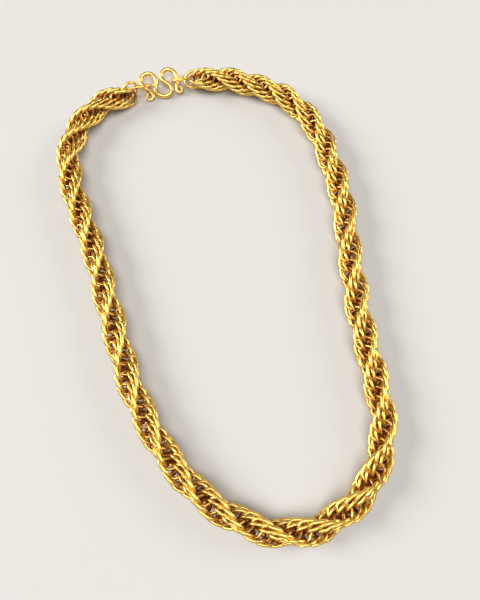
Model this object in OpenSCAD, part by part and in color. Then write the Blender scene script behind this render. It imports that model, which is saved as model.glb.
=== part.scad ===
// Rope chain necklace of gold-coloured metal, fastened at the back by an M-shaped wire hook,
// lying on a flat surface. The chain's small links are built together as the rope that they
// wind into: three strands round one another. An end link is soldered into each end of it,
// a jump ring hangs in each end link, and the hook's two legs go through the jump rings.

/* [Rope] */
// Width of the rope over the crests of its strands
rope_w = 9.2; // [8.6:0.1:9.8]
// Depth of the grooves between the strands
groove_depth = 1.3; // [0.8:0.1:1.8]
// Turns that the strands make from the left end to the right end
rope_turns = 9.7; // [9:0.1:10.4]
// Angle of the first strand at the left end, from the inside of the loop over the top
first_strand = 52; // [0:1:120]
// Rounding of the edge at each end of the rope
end_round = 1; // [0.5:0.1:1.4]

/* [End links] */
// Outer diameter of the link soldered into each end of the rope
end_link_od = 8; // [7.6:0.1:8.6]
// Wire of the end links
end_link_wire = 1.2; // [1.05:0.05:1.3]

/* [Jump rings] */
// Outer diameter of the jump rings
jump_od = 8.3; // [8:0.1:8.8]
// Wire of the jump rings
jump_wire = 1.15; // [1:0.05:1.25]
// Play between a jump ring and the end link that it hangs in
link_gap = 0.3; // [0.2:0.02:0.4]

/* [Hook] */
// Mean radius of the hook's loops, which its bends follow
loop_r = 3.3; // [3.15:0.05:3.4]
// Wire of the hook's loops
hook_wire = 1.9; // [1.6:0.05:2]
// Wire at the curled tips of the hook
tip_wire = 1.1; // [0.9:0.05:1.3]
// Slope of the hook, whose lower bend lies on the surface
hook_slope = 12.4; // [11:0.2:14]

/* [Hidden] */
gold = "gold";
ring_fn = 64;
wire_fn = 24;

// Middle of the rope's route, from the left end round the front to the right end
route = [
    [-36, 79], [-47, 74], [-55, 64], [-58.5, 52], [-57, 39.5], [-53, 27.5], [-48, 15.5],
    [-43.5, 4], [-39.5, -8.5], [-35.5, -20.5], [-31.5, -32.5], [-27, -44], [-21, -55.5],
    [-14, -66], [-5.5, -75.5], [4.5, -83], [16, -88], [29, -89.3], [41, -85], [50.5, -77],
    [56.5, -66], [58.5, -53.5], [57, -41], [55, -28.5], [53, -16], [52, -3], [51, 9.5],
    [50.5, 22], [49, 34.5], [46, 47], [42.5, 59], [36, 70], [27, 78.5], [15, 83.5],
    [3, 86.5], [-10, 85.5]
];

// How the twist runs along the rope. Columns: share of the route, share of the turns.
twist = [
    [0, 0], [0.1, 0.112], [0.2, 0.211], [0.3, 0.302], [0.4, 0.391], [0.5, 0.483],
    [0.6, 0.583], [0.7, 0.681], [0.8, 0.774], [0.9, 0.874], [1, 1]
];
strands = 3;
// Sides of the rope's skin, a multiple of the strands, and its rings between two route points
sides = 12;
steps = 6;

// How the end links turn. The heading is the way out of the rope to the jump ring; dip and
// tilt slope the ring's plane.
left_link_heading = 40;
left_link_dip = -10;
left_link_tilt = 80;
right_link_heading = 163;
right_link_dip = -4;
right_link_tilt = -20;

// Middle of the jump rings' wire where the hook holds it, at each ring's inner edge
left_hold = [-28.6, 85.7, 2.5];
right_hold = [-19, 88.1, 2.6];
// How the jump rings turn, each with its edge at the end link high and the other edge low
left_jump_heading = 24;
left_jump_dip = -10;
left_jump_tilt = -44;
right_jump_heading = 180;
right_jump_dip = -9;
right_jump_tilt = 43;

// The hook's bends from the left tip to the right tip.
// Columns: radius or straight length as a share of loop_r, turn to the left in degrees.
bends = [
    [0.42, 285], [1.67, 0], [0.92, -147], [1.12, -99], [1.15, 156], [0.71, 97],
    [0.95, 0], [0.85, -157], [1.3, -77], [1.4, 0], [0.35, 274]
];
first_heading = -147;
hook_sides = 12;
bend_step = 20;
// Middle of the hook in the plan
hook_middle = [-23.6, 86];
// How far the jump rings hold the hook's lowest point off the surface
hook_lift = 0.1;
// Share of the hook's length, from each tip, over which the wire thickens
taper_share = 0.2;
// Rounded tips: how far they bulge and how wide their flat is, as shares of the tip's radius
tip_bulge = 0.6;
tip_face = 0.55;

// Unit vector with a heading in the plan and a rise
function aim(heading, rise) =
    [cos(heading) * cos(rise), sin(heading) * cos(rise), sin(rise)];
function unit(v) = v / norm(v);

// Point of a smooth curve through the points p, a share t of the way from point i to the next
function curve_point(p, i, t) =
    let (last = len(p) - 1,
         a = i > 0 ? p[i - 1] : 2 * p[0] - p[1],
         b = p[i],
         c = p[i + 1],
         d = i + 2 > last ? 2 * p[last] - p[last - 1] : p[i + 2])
    0.5 * (2 * b + (c - a) * t + (2 * a - 5 * b + 4 * c - d) * t * t
        + (3 * b - a - 3 * c + d) * t * t * t);

// Middle line of the rope with the height of the rope's axis
line = [
    for (i = [0 : len(route) - 2], k = [0 : steps - 1]) curve_point(route, i, k / steps),
    route[len(route) - 1]
];
count = len(line);
spans = [for (i = [1 : count - 1]) norm(line[i] - line[i - 1])];
reach = [for (i = 0, s = 0; i < count; s = s + (i < count - 1 ? spans[i] : 0), i = i + 1) s];
rope_length = reach[count - 1];

// Direction and axis height at a point of the middle line
function along(i) = unit(line[min(i + 1, count - 1)] - line[max(i - 1, 0)]);
function axis_point(i) = [line[i][0], line[i][1], rope_w / 2];

// Angle of the first strand at a length along the rope
function strand_angle(s) = first_strand + 360 * rope_turns * lookup(s / rope_length, twist);

// Radius of the rope at an angle from a strand's crest: round crests and sharp grooves
function lobe_r(angle) = rope_w / 2 - groove_depth * (1 - abs(cos(angle * strands / 2)));

// One ring of points round the rope. The angle runs from the loop's inside over the top.
function rope_ring(at, dir, crest, scale) = [
    for (k = [0 : sides - 1])
        let (a = crest + 360 * k / sides, r = scale * lobe_r(360 * k / sides))
        at + r * [-dir[1] * cos(a), dir[0] * cos(a), sin(a)]
];

// Skin over rings of points, with a flat cap on each end
module skin(rings) {
    n = len(rings[0]);
    m = len(rings);
    polyhedron(
        points = [for (ring = rings, p = ring) p],
        faces = concat(
            [[for (k = [0 : n - 1]) k]],
            [for (i = [0 : m - 2], k = [0 : n - 1], half = [0, 1])
                let (a = i * n + k, b = i * n + (k + 1) % n)
                half == 0 ? [a, a + n, b] : [b, a + n, b + n]],
            [[for (k = [0 : n - 1]) m * n - 1 - k]]
        ),
        convexity = 10
    );
}

// Ring of round wire. Its plane holds the heading, and the tilt turns it about the heading.
module wire_ring(at, heading, dip, tilt, od, wire) {
    translate(at)
        rotate([0, 0, heading])
            rotate([0, -dip, 0])
                rotate([tilt, 0, 0])
                    rotate_extrude($fn = ring_fn)
                        translate([(od - wire) / 2, 0])
                            circle(d = wire, $fn = wire_fn);
}

// The clasp is placed from the hook outwards: the hook holds each jump ring's inner edge,
// and each end link hangs in its jump ring, with link_gap as play
link_reach = (end_link_od - end_link_wire) / 2;
jump_reach = (jump_od - jump_wire) / 2;
hang = (end_link_wire + jump_wire) / 2 + link_gap;
function link_place(hold, link_aim, jump_aim) =
    hold - 2 * jump_reach * jump_aim + hang * unit(link_aim + jump_aim) - link_reach * link_aim;

left_jump_aim = aim(left_jump_heading, left_jump_dip);
right_jump_aim = aim(right_jump_heading, right_jump_dip);
left_jump = left_hold - jump_reach * left_jump_aim;
right_jump = right_hold - jump_reach * right_jump_aim;
left_link = link_place(left_hold, aim(left_link_heading, left_link_dip), left_jump_aim);
right_link = link_place(right_hold, aim(right_link_heading, right_link_dip), right_jump_aim);

// Rope with the end links soldered into its ends, which have a rounded edge
module rope() {
    rings = [
        for (i = [0 : count - 1])
            rope_ring(axis_point(i), along(i), strand_angle(reach[i]),
                i == 0 || i == count - 1 ? 1 - 2 * end_round / rope_w : 1)
    ];
    color(gold) {
        skin(rings);
        wire_ring(left_link, left_link_heading, left_link_dip, left_link_tilt,
            end_link_od, end_link_wire);
        wire_ring(right_link, right_link_heading, right_link_dip, right_link_tilt,
            end_link_od, end_link_wire);
    }
}

module jump_ring_left() {
    color(gold)
        wire_ring(left_jump, left_jump_heading, left_jump_dip, left_jump_tilt,
            jump_od, jump_wire);
}

module jump_ring_right() {
    color(gold)
        wire_ring(right_jump, right_jump_heading, right_jump_dip, right_jump_tilt,
            jump_od, jump_wire);
}

// Moves that the hook's wire makes in the plan, each a short straight and a turn
function bend_steps(bend) = bend[1] == 0 ? 1 : ceil(abs(bend[1]) / bend_step);
moves = [
    for (bend = bends)
        let (n = bend_steps(bend), turn = bend[1] / n, size = bend[0] * loop_r)
        for (k = [1 : n]) [turn == 0 ? size : 2 * size * sin(abs(turn) / 2), turn]
];
function step_way(move, heading) =
    move[0] * [cos(heading + move[1] / 2), sin(heading + move[1] / 2)];
hook_path = [
    for (i = 0, h = first_heading, p = [0, 0];
         i <= len(moves);
         p = i < len(moves) ? p + step_way(moves[i], h) : p,
         h = i < len(moves) ? h + moves[i][1] : h,
         i = i + 1) p
];
hook_count = len(hook_path);
hook_reach = [
    for (i = 0, s = 0; i < hook_count; s = i < len(moves) ? s + moves[i][0] : s, i = i + 1) s
];
path_x = [for (p = hook_path) p[0]];
path_y = [for (p = hook_path) p[1]];
path_mid = [min(path_x) + max(path_x), min(path_y) + max(path_y)] / 2;

// Radius of the hook's wire at each point, thin at the tips
function smooth(x) = let (c = min(max(x, 0), 1)) c * c * (3 - 2 * c);
function tip_share(i) =
    min(hook_reach[i], hook_reach[hook_count - 1] - hook_reach[i]) / hook_reach[hook_count - 1];
hook_radii = [
    for (i = [0 : hook_count - 1])
        (tip_wire + (hook_wire - tip_wire) * smooth(tip_share(i) / taper_share)) / 2
];

// The hook's plane rises towards the far side, and its lowest point is just off the surface
hook_plan = [for (p = hook_path) p - path_mid + hook_middle];
hook_base = hook_lift - min([for (i = [0 : hook_count - 1])
    hook_plan[i][1] * tan(hook_slope) - hook_radii[i]]);
hook_line = [for (p = hook_plan) [p[0], p[1], p[1] * tan(hook_slope) + hook_base]];
hook_up = [0, -sin(hook_slope), cos(hook_slope)];

// Ring of points round the hook's wire
function wire_points(at, dir, r) = [
    for (k = [0 : hook_sides - 1])
        let (a = 360 * k / hook_sides)
        at + r * (cos(a) * cross(hook_up, dir) + sin(a) * hook_up)
];

module m_hook() {
    last = hook_count - 1;
    dirs = [
        for (i = [0 : last])
            unit(hook_line[min(i + 1, last)] - hook_line[max(i - 1, 0)])
    ];
    tip = tip_wire / 2;
    rings = concat(
        [wire_points(hook_line[0] - dirs[0] * tip * tip_bulge, dirs[0], tip * tip_face)],
        [for (i = [0 : last]) wire_points(hook_line[i], dirs[i], hook_radii[i])],
        [wire_points(hook_line[last] + dirs[last] * tip * tip_bulge, dirs[last], tip * tip_face)]
    );
    color(gold) skin(rings);
}

rope();
jump_ring_left();
jump_ring_right();
m_hook();
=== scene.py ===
import math

import bpy
import numpy as np
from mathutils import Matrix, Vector


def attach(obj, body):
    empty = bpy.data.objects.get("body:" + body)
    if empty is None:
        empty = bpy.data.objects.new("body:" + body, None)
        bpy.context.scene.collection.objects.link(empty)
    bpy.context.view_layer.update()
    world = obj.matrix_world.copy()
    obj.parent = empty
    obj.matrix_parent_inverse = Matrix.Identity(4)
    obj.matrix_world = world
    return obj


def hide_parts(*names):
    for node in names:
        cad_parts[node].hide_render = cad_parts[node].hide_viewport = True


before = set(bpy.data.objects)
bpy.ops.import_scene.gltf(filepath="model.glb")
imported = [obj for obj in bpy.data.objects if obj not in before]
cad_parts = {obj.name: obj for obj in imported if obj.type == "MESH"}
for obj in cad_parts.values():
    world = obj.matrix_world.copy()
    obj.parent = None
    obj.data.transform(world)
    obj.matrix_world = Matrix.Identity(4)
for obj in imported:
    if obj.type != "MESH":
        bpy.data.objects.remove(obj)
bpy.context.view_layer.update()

# The camera looks down on the necklace from in front, at the photograph's angle, and takes in
# the whole loop with the hook at the top of the frame.
camera_data = bpy.data.cameras.new("necklace_camera")
camera_data.lens = 30
camera_data.sensor_width = 36
camera_data.clip_start = 0.01
camera = bpy.data.objects.new("necklace_camera", camera_data)
camera.location = (0.010, -0.06639, 0.17869)
camera.rotation_euler = (math.radians(17.5), 0, 0)
bpy.context.scene.collection.objects.link(camera)
bpy.context.scene.camera = camera
bpy.context.scene.view_settings.view_transform = "Standard"

# Table top: a plain pale surface without gloss, which the necklace lies on.
# It is the stage and no part of the necklace.
table_half = 1.5
table_data = bpy.data.meshes.new("table_top")
table_data.from_pydata(
    [(-table_half, -table_half, 0), (table_half, -table_half, 0),
     (table_half, table_half, 0), (-table_half, table_half, 0)], [], [(0, 1, 2, 3)])
table_top = bpy.data.objects.new("table_top", table_data)
bpy.context.scene.collection.objects.link(table_top)
table_paint = bpy.data.materials.new("pale_table")
table_paint.use_nodes = True
table_shader = table_paint.node_tree.nodes["Principled BSDF"]
table_shader.inputs["Base Color"].default_value = (0.56, 0.542, 0.515, 1)
table_shader.inputs["Roughness"].default_value = 0.75
table_data.materials.append(table_paint)

# Lights: a wide even ceiling light and a soft light on each side, in a room whose walls are
# pale at the table's level and turn grey above it, which the gold reflects.
pale_wall = (0.68, 0.66, 0.63, 1)
grey_wall = (0.15, 0.148, 0.144, 1)
grey_from = 0.5
room = bpy.data.worlds.new("grey_room")
room.use_nodes = True
room_nodes, room_wires = room.node_tree.nodes, room.node_tree.links
way_out = room_nodes.new("ShaderNodeTexCoord")
split = room_nodes.new("ShaderNodeSeparateXYZ")
room_wires.new(way_out.outputs["Generated"], split.inputs["Vector"])
height = room_nodes.new("ShaderNodeMapRange")
height.inputs["From Max"].default_value = grey_from
room_wires.new(split.outputs["Z"], height.inputs["Value"])
wall = room_nodes.new("ShaderNodeMix")
wall.data_type = "RGBA"
wall.inputs["A"].default_value = pale_wall
wall.inputs["B"].default_value = grey_wall
room_wires.new(height.outputs["Result"], wall.inputs["Factor"])
room_wires.new(wall.outputs["Result"], room_nodes["Background"].inputs["Color"])
room_nodes["Background"].inputs["Strength"].default_value = 1.0
bpy.context.scene.world = room


def soft_light(name, place, power, wide):
    """A light far off in the direction of its place, which spans an angle of wide degrees."""
    lamp = bpy.data.lights.new(name, "SUN")
    lamp.energy = power
    lamp.angle = math.radians(wide)
    holder = bpy.data.objects.new(name, lamp)
    holder.location = place
    holder.rotation_euler = (-Vector(place)).to_track_quat("-Z", "Y").to_euler()
    bpy.context.scene.collection.objects.link(holder)


soft_light("wide_ceiling_light", (0, -0.23, 1.0), 2.05, 50)
soft_light("left_soft_box", (-0.60, 0.10, 0.35), 2.9, 28)
soft_light("right_soft_box", (0.55, 0.20, 0.30), 1.2, 30)

# Rope: several hundred small links of round gold wire. Each link is threaded through the ones
# before it and turned a little over a third of a turn, so that their outer sides wind into
# three strands. The wire is pressed wider and flatter on each link's outermost side, its crest.
rope_w = 0.0092
rope_turns = 9.7
first_strand = 52
axis_height = 0.52 * rope_w
route = [
    (-36, 79), (-47, 74), (-55, 64), (-58.5, 52), (-57, 39.5), (-53, 27.5), (-48, 15.5),
    (-43.5, 4), (-39.5, -8.5), (-35.5, -20.5), (-31.5, -32.5), (-27, -44), (-21, -55.5),
    (-14, -66), (-5.5, -75.5), (4.5, -83), (16, -88), (29, -89.3), (41, -85), (50.5, -77),
    (56.5, -66), (58.5, -53.5), (57, -41), (55, -28.5), (53, -16), (52, -3), (51, 9.5),
    (50.5, 22), (49, 34.5), (46, 47), (42.5, 59), (36, 70), (27, 78.5), (15, 83.5),
    (3, 86.5), (-10, 85.5)]
# How the twist runs along the rope. Columns: share of the route, share of the turns.
twist = [
    (0, 0), (0.1, 0.112), (0.2, 0.211), (0.3, 0.302), (0.4, 0.391), (0.5, 0.483),
    (0.6, 0.583), (0.7, 0.681), (0.8, 0.774), (0.9, 0.874), (1, 1)]
# Links in a turn of the strands, and the degrees about the rope from one link to the next.
links_in_turn = 45
strand_step = 128
# The link's wire at its crest, and the share of it that is left at the link's inner side.
link_wire = 0.142 * rope_w
inner_wire = 0.85
# Mean radius of the link, and how far its middle lies out from the rope's axis and aside.
link_r = 0.408 * rope_w
link_out = 0.072 * rope_w
link_aside = 0.091 * rope_w
# How the link's plane is turned about the rope's axis and sloped along it, in degrees.
link_yaw = -16
link_lean = 10
link_dip = 6.3
# The crest: how square its curve is, where 2 is round, how much wider its wire is pressed,
# and how far from the rope's axis it is flattened.
crest_bow = 2.6
crest_spread = 0.1
cut_at = 0.517 * rope_w
# Sections of a link, how much closer they stand on the crest, and sides of its wire.
link_steps = 16
crest_share = 0.32
wire_sides = 6
# How much of the route the rope's two ends leave free for the end links.
left_free = 0.36 * link_r
right_free = 0.62 * link_r
# How far each link leans in its own way, in radians, and the seed of it.
link_play = 0.006
play_seed = 7
# Painted shade: between these two radii the gold is painted darker towards the rope's core,
# standing in for the shade that falls between the links.
core_shade_radii = (0.15 * rope_w, 0.42 * rope_w)
core_shade_gold = (0.40, 0.15, 0.022, 1)
bright_gold = (1.0, 0.665, 0.17)


def rope_line(points, steps=24):
    """Smooth middle line through the route's points, at the height of the rope's axis."""
    p = np.array(points) / 1000
    p = np.vstack([2 * p[0] - p[1], p, 2 * p[-1] - p[-2]])
    t = np.linspace(0, 1, steps, endpoint=False)[:, None]
    line = [0.5 * (2 * b + (c - a) * t + (2 * a - 5 * b + 4 * c - d) * t**2
                   + (3 * b - a - 3 * c + d) * t**3)
            for a, b, c, d in zip(p, p[1:], p[2:], p[3:])]
    line = np.vstack(line + [p[-2][None]])
    return np.column_stack([line, np.full(len(line), axis_height)])


middle_line = rope_line(route)
reach = np.r_[0, np.cumsum(np.linalg.norm(np.diff(middle_line, axis=0), axis=1))]
rope_length = reach[-1]
twist_table = np.array(twist)
link_share = np.arange(int(rope_turns * links_in_turn) + 1) / (rope_turns * links_in_turn)
link_reach = rope_length * np.interp(link_share, twist_table[:, 1], twist_table[:, 0])
link_number = np.arange(len(link_share))
kept = (link_reach > left_free) & (link_reach < rope_length - right_free)
link_reach, link_number = link_reach[kept], link_number[kept]


def on_line(s):
    """Points of the middle line at these lengths from the left end."""
    return np.column_stack([np.interp(s, reach, middle_line[:, i]) for i in range(3)])


half_step = 0.0005
link_middle = on_line(link_reach)
link_way = on_line(link_reach + half_step) - on_line(link_reach - half_step)
link_way /= np.linalg.norm(link_way, axis=1)[:, None]
link_azimuth = np.radians(first_strand + strand_step * link_number)


def link_mesh():
    """One link: a ring of wire beside the rope's axis, with a squarer and flattened crest.
    In its own axes x points out of the rope, and z along it."""
    # The ring's curve starts at the crest, and its sections stand closer there.
    a = np.linspace(0, 2 * np.pi, 721)
    bow = np.where(np.cos(a) > 0, crest_bow, 2)
    ring = np.column_stack([np.sign(w) * np.abs(w) ** (2 / bow) for w in (np.cos(a), np.sin(a))])
    run = np.r_[0, np.cumsum(np.linalg.norm(np.diff(ring, axis=0), axis=1))]
    share = np.linspace(0, 1, link_steps, endpoint=False)
    share -= crest_share * np.sin(2 * np.pi * share) / (2 * np.pi)
    ring = np.column_stack([np.interp(share * run[-1], run, w) for w in ring.T])
    bow = np.where(ring[:, 0] > 0, crest_bow, 2)[:, None]
    away = np.sign(ring) * np.abs(ring) ** (bow - 1)

    # The ring's plane, from the way along the rope and the way out of it.
    along = np.array([-math.tan(math.radians(link_dip)), math.tan(math.radians(link_lean)), 1])
    along /= np.linalg.norm(along)
    out = np.array([math.cos(math.radians(link_yaw)), math.sin(math.radians(link_yaw)), 0])
    out -= (out @ along) * along
    out /= np.linalg.norm(out)
    across = np.cross(out, along)
    plane = np.array([out, along])
    line = np.array([link_out, link_aside, 0]) + link_r * ring @ plane
    spoke = away @ plane
    spoke /= np.linalg.norm(spoke, axis=1)[:, None]

    # Round the wire, the points start at its outermost side. Where the crest's flat takes that
    # side off, the next point on each side sits on the flat's edge.
    wide = 1 + crest_spread * np.clip(ring[:, :1], 0, 1) ** 6
    side = np.arange(wire_sides)
    across_x = wide[:, 0] * across[0]
    level = (cut_at - line[:, 0]) / (link_wire / 2 * np.hypot(spoke[:, 0], across_x))
    cut = level < 1
    edge = np.arccos(np.clip(level, -1, 1))[:, None]
    on_cut = edge + (2 * np.pi - 2 * edge) * (side - 1) / (wire_sides - 2)
    on_cut[:, 0] = 0
    b = np.where(cut[:, None], on_cut, 2 * np.pi * side / wire_sides)
    b += np.where(cut, np.arctan2(across_x, spoke[:, 0]), math.atan2(across[0], out[0]))[:, None]
    thick = np.interp(ring[:, 0], (-0.5, 0.3), (inner_wire, 1))[:, None, None] * link_wire
    skin = line[:, None] + thick / 2 * (
        np.cos(b)[..., None] * spoke[:, None] + (wide * np.sin(b))[..., None] * across)
    skin[..., 0] = np.minimum(skin[..., 0], cut_at)
    skin = skin.reshape(-1, 3)
    cells = [(i * wire_sides, k, (i + 1) % link_steps * wire_sides, (k + 1) % wire_sides)
             for i in range(link_steps) for k in range(wire_sides)]
    faces = [(i + k, i + m, j + m, j + k) for i, k, j, m in cells]
    data = bpy.data.meshes.new("rope_link")
    data.from_pydata(skin.tolist(), [], faces)
    data.polygons.foreach_set("use_smooth", [True] * len(faces))
    # Painted shade: each point's share of the darker gold, full inside the inner radius and none
    # beyond the outer one.
    core_shade_share = 1 - np.interp(np.hypot(skin[:, 0], skin[:, 1]), core_shade_radii, (0, 1))
    core_shade = data.attributes.new("core_shade", "FLOAT", "POINT")
    core_shade.data.foreach_set("value", core_shade_share.astype(np.float32))
    return data


def signed_volume(data):
    """Volume that a closed mesh takes up, below zero where its faces point inwards."""
    data.calc_loop_triangles()
    v = np.array([p.co for p in data.vertices])
    t = np.array([f.vertices for f in data.loop_triangles])
    return np.einsum("ij,ij->i", v[t[:, 0]], np.cross(v[t[:, 1]], v[t[:, 2]])).sum() / 6


def gold(name, colour, roughness, scratch):
    """Polished gold: metal with a little unevenness in its gloss and colour, and fine
    scratches from wear."""
    material = bpy.data.materials.new(name)
    material.use_nodes = True
    nodes, wires = material.node_tree.nodes, material.node_tree.links
    shader = nodes["Principled BSDF"]
    shader.inputs["Metallic"].default_value = 1.0
    place = nodes.new("ShaderNodeTexCoord")
    cloud = nodes.new("ShaderNodeTexNoise")
    cloud.inputs["Scale"].default_value = 420
    cloud.inputs["Detail"].default_value = 3
    wires.new(place.outputs["Object"], cloud.inputs["Vector"])
    tone = nodes.new("ShaderNodeValToRGB")
    low_tone, full_tone = tone.color_ramp.elements
    low_tone.position = 0.35
    low_tone.color = tuple(c * 0.86 for c in colour) + (1,)
    full_tone.position = 0.65
    full_tone.color = tuple(colour) + (1,)
    wires.new(cloud.outputs["Fac"], tone.inputs["Fac"])
    wires.new(tone.outputs["Color"], shader.inputs["Base Color"])
    gloss = nodes.new("ShaderNodeMapRange")
    gloss.inputs["From Min"].default_value = 0.3
    gloss.inputs["From Max"].default_value = 0.7
    gloss.inputs["To Min"].default_value = roughness * 0.75
    gloss.inputs["To Max"].default_value = roughness * 1.35
    wires.new(cloud.outputs["Fac"], gloss.inputs["Value"])
    wires.new(gloss.outputs["Result"], shader.inputs["Roughness"])
    streak_place = nodes.new("ShaderNodeMapping")
    streak_place.inputs["Scale"].default_value = (1.0, 6.0, 2.5)
    streak_place.inputs["Rotation"].default_value = (0.4, 0.7, 0.5)
    wires.new(place.outputs["Object"], streak_place.inputs["Vector"])
    streak = nodes.new("ShaderNodeTexNoise")
    streak.inputs["Scale"].default_value = 2600
    streak.inputs["Detail"].default_value = 2
    wires.new(streak_place.outputs["Vector"], streak.inputs["Vector"])
    bump = nodes.new("ShaderNodeBump")
    bump.inputs["Strength"].default_value = scratch
    bump.inputs["Distance"].default_value = 0.00003
    wires.new(streak.outputs["Fac"], bump.inputs["Height"])
    wires.new(bump.outputs["Normal"], shader.inputs["Normal"])
    return material


link_data = link_mesh()
if signed_volume(link_data) < 0:
    link_data.flip_normals()
rope_gold = gold("rope_gold", bright_gold, 0.33, 0.06)
rope_nodes, rope_wires = rope_gold.node_tree.nodes, rope_gold.node_tree.links
# Painted shade: the base colour is mixed towards the darker gold by each point's share of painted
# shade, darkest near the rope's core.
core_shade_input = rope_nodes.new("ShaderNodeAttribute")
core_shade_input.attribute_name = "core_shade"
core_shade_mix = rope_nodes.new("ShaderNodeMix")
core_shade_mix.data_type = "RGBA"
core_shade_mix.blend_type = "MIX"
rope_wires.new(core_shade_input.outputs["Fac"], core_shade_mix.inputs["Factor"])
rope_wires.new(rope_nodes["Color Ramp"].outputs["Color"], core_shade_mix.inputs["A"])
core_shade_mix.inputs["B"].default_value = core_shade_gold
rope_wires.new(core_shade_mix.outputs["Result"], rope_nodes["Principled BSDF"].inputs["Base Color"])


def link_tree():
    """Geometry Nodes that set one link at each place along the rope."""
    tree = bpy.data.node_groups.new("rope_of_links", "GeometryNodeTree")
    for name, kind in (("Geometry", "Geometry"), ("Link", "Object"), ("Play", "Float"),
                       ("Seed", "Int"), ("Finish", "Material")):
        tree.interface.new_socket(name, in_out="INPUT", socket_type="NodeSocket" + kind)
    tree.interface.new_socket("Geometry", in_out="OUTPUT", socket_type="NodeSocketGeometry")
    node, wire = tree.nodes.new, tree.links.new
    given, result = node("NodeGroupInput"), node("NodeGroupOutput")

    def place_value(name, kind):
        n = node("GeometryNodeInputNamedAttribute")
        n.data_type = kind
        n.inputs["Name"].default_value = name
        return n.outputs["Attribute"]

    def vector_math(kind, *sources):
        n = node("ShaderNodeVectorMath")
        n.operation = kind
        for socket, source in zip(n.inputs, sources):
            if isinstance(source, tuple):
                socket.default_value = source
            else:
                wire(source, socket)
        return n

    def plain_math(kind, source):
        n = node("ShaderNodeMath")
        n.operation = kind
        wire(source, n.inputs[0])
        return n

    def scaled(vector, factor):
        n = vector_math("SCALE", vector)
        wire(factor, n.inputs["Scale"])
        return n.outputs["Vector"]

    # Each link stands along the rope, with its crest at the place's angle about it.
    way = place_value("way", "FLOAT_VECTOR")
    angle = place_value("azimuth", "FLOAT")
    up = (0.0, 0.0, 1.0)
    left = vector_math("CROSS_PRODUCT", up, way).outputs["Vector"]
    out = vector_math("ADD", scaled(left, plain_math("COSINE", angle).outputs[0]),
                      scaled(up, plain_math("SINE", angle).outputs[0]))
    axes = node("FunctionNodeAxesToRotation")
    axes.primary_axis = "Z"
    axes.secondary_axis = "X"
    wire(way, axes.inputs[0])
    wire(out.outputs["Vector"], axes.inputs[1])

    # It also leans a little in a way of its own.
    least = plain_math("MULTIPLY", given.outputs["Play"])
    least.inputs[1].default_value = -1
    loose = node("FunctionNodeRandomValue")
    loose.data_type = "FLOAT_VECTOR"
    wire(least.outputs[0], loose.inputs["Min"])
    wire(given.outputs["Play"], loose.inputs["Max"])
    wire(given.outputs["Seed"], loose.inputs["Seed"])
    lean = node("FunctionNodeEulerToRotation")
    wire(loose.outputs["Value"], lean.inputs[0])
    turned = node("FunctionNodeRotateRotation")
    turned.rotation_space = "LOCAL"
    wire(axes.outputs[0], turned.inputs[0])
    wire(lean.outputs[0], turned.inputs[1])

    link = node("GeometryNodeObjectInfo")
    wire(given.outputs["Link"], link.inputs["Object"])
    spread = node("GeometryNodeInstanceOnPoints")
    wire(given.outputs["Geometry"], spread.inputs["Points"])
    wire(link.outputs["Geometry"], spread.inputs["Instance"])
    wire(turned.outputs[0], spread.inputs["Rotation"])
    real = node("GeometryNodeRealizeInstances")
    wire(spread.outputs["Instances"], real.inputs["Geometry"])
    finish = node("GeometryNodeSetMaterial")
    wire(real.outputs["Geometry"], finish.inputs["Geometry"])
    wire(given.outputs["Finish"], finish.inputs["Material"])
    wire(finish.outputs["Geometry"], result.inputs["Geometry"])
    return tree


rope_of_links = link_tree()
one_link = bpy.data.objects.new("one_link", link_data)
bpy.context.scene.collection.objects.link(one_link)


def rope_piece(name, chosen):
    """A stretch of the rope as one mesh, from the places of the chosen links."""
    dots = bpy.data.meshes.new(name + "_places")
    dots.from_pydata(link_middle[chosen].tolist(), [], [])
    dots.attributes.new("way", "FLOAT_VECTOR", "POINT").data.foreach_set(
        "vector", link_way[chosen].astype(np.float32).ravel())
    dots.attributes.new("azimuth", "FLOAT", "POINT").data.foreach_set(
        "value", link_azimuth[chosen].astype(np.float32))
    holder = bpy.data.objects.new(name + "_places", dots)
    bpy.context.scene.collection.objects.link(holder)
    maker = holder.modifiers.new("links", "NODES")
    maker.node_group = rope_of_links
    sockets = {s.name: s.identifier
               for s in rope_of_links.interface.items_tree if s.in_out == "INPUT"}
    maker[sockets["Link"]] = one_link
    maker[sockets["Play"]] = link_play
    maker[sockets["Seed"]] = play_seed
    maker[sockets["Finish"]] = rope_gold
    seen = holder.evaluated_get(bpy.context.evaluated_depsgraph_get())
    data = bpy.data.meshes.new_from_object(seen)
    data.name = name
    holder.modifiers.remove(maker)
    bpy.data.objects.remove(holder)
    piece = bpy.data.objects.new(name, data)
    bpy.context.scene.collection.objects.link(piece)
    return piece


order = np.arange(len(link_reach))
half_way = len(link_reach) // 2
left_links = rope_piece("rope_links_left", order < half_way)
right_links = rope_piece("rope_links_right", order >= half_way)
bpy.data.objects.remove(one_link)
for piece in (left_links, right_links):
    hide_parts("rope")
    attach(piece, "root")

# End links: a stouter ring of round wire soldered into each end of the rope, whose outer half
# stands out of the rope and holds a jump ring. Heading is the way out of the rope in the plan;
# dip and tilt slope the ring, in degrees.
end_link_od = 0.0080
end_link_wire = 0.0012
left_link_heading = 40
left_link_dip = -10
left_link_tilt = 80
right_link_heading = 163
right_link_dip = -4
right_link_tilt = -20
# The end links' places come from the jump rings: their size and play, the points in millimetres
# where the hook holds them, and how they turn.
jump_od = 0.0083
jump_wire = 0.00115
link_gap = 0.0003
left_hold = (-28.6, 85.7, 2.5)
right_hold = (-19, 88.1, 2.6)
left_jump_heading = 24
left_jump_dip = -10
right_jump_heading = 180
right_jump_dip = -9


def aim(heading, rise):
    """Unit vector of a heading in the plan and a rise above it, both in degrees."""
    h, r = math.radians(heading), math.radians(rise)
    return np.array([math.cos(h) * math.cos(r), math.sin(h) * math.cos(r), math.sin(r)])


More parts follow.
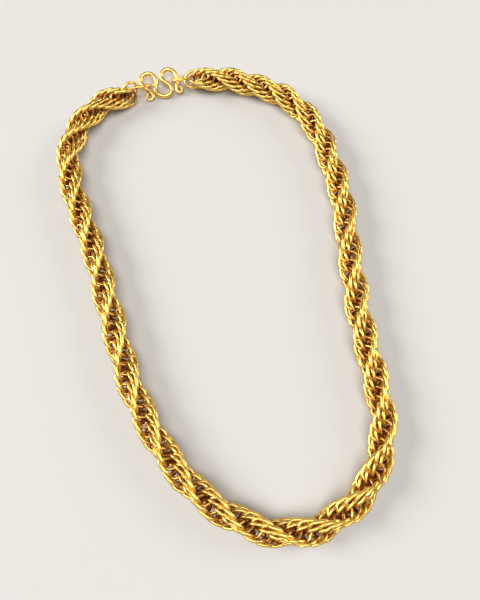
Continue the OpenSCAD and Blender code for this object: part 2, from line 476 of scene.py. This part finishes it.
def wire_ring(at, heading, dip, tilt, od, wire, around=72, across=20):
    """Points and faces of a ring of round wire whose plane holds the heading and is turned
    about it by the tilt."""
    out = aim(heading, dip)
    h, t = math.radians(heading), math.radians(tilt)
    level = np.array([-math.sin(h), math.cos(h), 0])
    rise = np.cross(out, level)
    side = math.cos(t) * level + math.sin(t) * rise
    normal = np.cross(out, side)
    a = np.linspace(0, 2 * np.pi, around, endpoint=False)[:, None, None]
    b = np.linspace(0, 2 * np.pi, across, endpoint=False)[None, :, None]
    spoke = np.cos(a) * out + np.sin(a) * side
    skin = at + (od - wire) / 2 * spoke + wire / 2 * (np.cos(b) * spoke + np.sin(b) * normal)
    faces = [(i * across + k, ((i + 1) % around) * across + k,
              ((i + 1) % around) * across + (k + 1) % across, i * across + (k + 1) % across)
             for i in range(around) for k in range(across)]
    return skin.reshape(-1, 3), faces


def metal_piece(name, parts, finish):
    """One object from several closed skins, with smooth faces that point outwards."""
    points, faces, start = [], [], 0
    for skin, quads in parts:
        points += skin.tolist()
        faces += [tuple(v + start for v in f) for f in quads]
        start += len(skin)
    data = bpy.data.meshes.new(name)
    data.from_pydata(points, [], faces)
    if signed_volume(data) < 0:
        data.flip_normals()
    data.polygons.foreach_set("use_smooth", [True] * len(data.polygons))
    data.materials.append(finish)
    piece = bpy.data.objects.new(name, data)
    bpy.context.scene.collection.objects.link(piece)
    return piece


def end_link_middle(hold, link_aim, jump_aim):
    """Middle of the end link that hangs in the jump ring which the hook holds at hold."""
    both = link_aim + jump_aim
    hang = (end_link_wire + jump_wire) / 2 + link_gap
    return (np.array(hold) / 1000 - (jump_od - jump_wire) * jump_aim
            + hang * both / np.linalg.norm(both) - (end_link_od - end_link_wire) / 2 * link_aim)


left_jump_aim = aim(left_jump_heading, left_jump_dip)
right_jump_aim = aim(right_jump_heading, right_jump_dip)
left_link_aim = aim(left_link_heading, left_link_dip)
right_link_aim = aim(right_link_heading, right_link_dip)
left_link = end_link_middle(left_hold, left_link_aim, left_jump_aim)
right_link = end_link_middle(right_hold, right_link_aim, right_jump_aim)
ring_gold = gold("ring_gold", bright_gold, 0.33, 0.06)
end_links = metal_piece("end_links", [
    wire_ring(left_link, left_link_heading, left_link_dip, left_link_tilt,
              end_link_od, end_link_wire),
    wire_ring(right_link, right_link_heading, right_link_dip, right_link_tilt,
              end_link_od, end_link_wire),
], ring_gold)
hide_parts("rope")
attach(end_links, "root")

# Jump rings: one loose ring of round wire hangs in each end link, its seam soldered shut, and
# the hook's leg goes through it. Their sizes stand with the end links.
left_jump_tilt = -44
right_jump_tilt = 43
left_jump = np.array(left_hold) / 1000 - (jump_od - jump_wire) / 2 * left_jump_aim
right_jump = np.array(right_hold) / 1000 - (jump_od - jump_wire) / 2 * right_jump_aim
for name, at, heading, dip, tilt in (
        ("jump_ring_left", left_jump, left_jump_heading, left_jump_dip, left_jump_tilt),
        ("jump_ring_right", right_jump, right_jump_heading, right_jump_dip, right_jump_tilt)):
    ring = wire_ring(at, heading, dip, tilt, jump_od, jump_wire)
    piece = metal_piece("round_" + name, [ring], ring_gold)
    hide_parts(name)
    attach(piece, "root")

# Hook: one length of thick wire with thinned tips, bent on pegs into an M whose two legs end
# in small curls. It carries both jump rings and its finish is a little softer than the rope's.
hook_r = 0.0033
hook_wire = 0.0019
tip_wire = 0.0011
hook_slope = math.radians(12.4)
hook_middle = (-0.0236, 0.0860)
hook_lift = 0.0001
# The bends from the left tip to the right tip. Columns: radius or straight length as a share
# of hook_r, turn to the left in degrees.
bends = [
    (0.42, 285), (1.67, 0), (0.92, -147), (1.12, -99), (1.15, 156), (0.71, 97),
    (0.95, 0), (0.85, -157), (1.3, -77), (1.4, 0), (0.35, 274)]
first_heading = -147
# Share of the wire's length that each tip tapers over, and how far its rounded end reaches.
taper_share = 0.2
tip_reach = 0.6
# Steps in a straight length, degrees of a bend that one step takes, and sides of the wire.
straight_steps = 6
bend_step = 7
hook_sides = 20
hook_gold_colour = (1.0, 0.68, 0.21)


def hook_path():
    """The hook's middle line in the plan: straight where a bend is zero, arcs elsewhere."""
    heading, at = math.radians(first_heading), np.zeros(2)
    path = [at]
    for size, turn in bends:
        size *= hook_r
        n = straight_steps if turn == 0 else int(math.ceil(abs(turn) / bend_step))
        step = math.radians(turn) / n
        length = size / n if turn == 0 else 2 * size * math.sin(abs(step) / 2)
        for _ in range(n):
            way = heading + step / 2
            at = at + length * np.array([math.cos(way), math.sin(way)])
            heading += step
            path.append(at)
    return np.array(path)


plan = hook_path()
plan += np.array(hook_middle) - (plan.min(0) + plan.max(0)) / 2
run = np.r_[0, np.cumsum(np.linalg.norm(np.diff(plan, axis=0), axis=1))]
from_tip = np.clip(np.minimum(run, run[-1] - run) / run[-1] / taper_share, 0, 1)
hook_radius = (tip_wire + (hook_wire - tip_wire) * from_tip**2 * (3 - 2 * from_tip)) / 2
rise = plan[:, 1] * math.tan(hook_slope)
hook_line = np.column_stack([plan, rise + hook_lift - (rise - hook_radius).min()])


def hook_skin(line, radius):
    """Round wire along the line, closed by a rounded tip at each end."""
    way = np.gradient(line, axis=0)
    way /= np.linalg.norm(way, axis=1)[:, None]
    tips = np.radians([80, 60, 40, 20])
    for end, sign, turns in ((0, -1, tips), (-1, 1, tips[::-1])):
        dome = np.array([line[end] + sign * way[end] * radius[end] * tip_reach * math.sin(t)
                         for t in turns])
        size = np.array([radius[end] * math.cos(t) for t in turns])
        same = np.repeat(way[end][None], len(turns), 0)
        if end == 0:
            line, radius, way = np.vstack([dome, line]), np.r_[size, radius], np.vstack([same, way])
        else:
            line, radius, way = np.vstack([line, dome]), np.r_[radius, size], np.vstack([way, same])
    up = np.array([0, -math.sin(hook_slope), math.cos(hook_slope)])
    side = np.cross(up, way)
    side /= np.linalg.norm(side, axis=1)[:, None]
    top = np.cross(way, side)
    b = np.linspace(0, 2 * np.pi, hook_sides, endpoint=False)[None, :, None]
    round_it = np.cos(b) * side[:, None] + np.sin(b) * top[:, None]
    skin = line[:, None] + radius[:, None, None] * round_it
    n = hook_sides
    faces = [(i * n + k, i * n + (k + 1) % n, (i + 1) * n + (k + 1) % n, (i + 1) * n + k)
             for i in range(len(line) - 1) for k in range(n)]
    faces += [tuple(range(n))[::-1], tuple((len(line) - 1) * n + k for k in range(n))]
    return skin.reshape(-1, 3), faces


hook_gold = gold("hook_gold", hook_gold_colour, 0.34, 0.06)
hook = metal_piece("round_m_hook", [hook_skin(hook_line, hook_radius)], hook_gold)
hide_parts("m_hook")
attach(hook, "root")
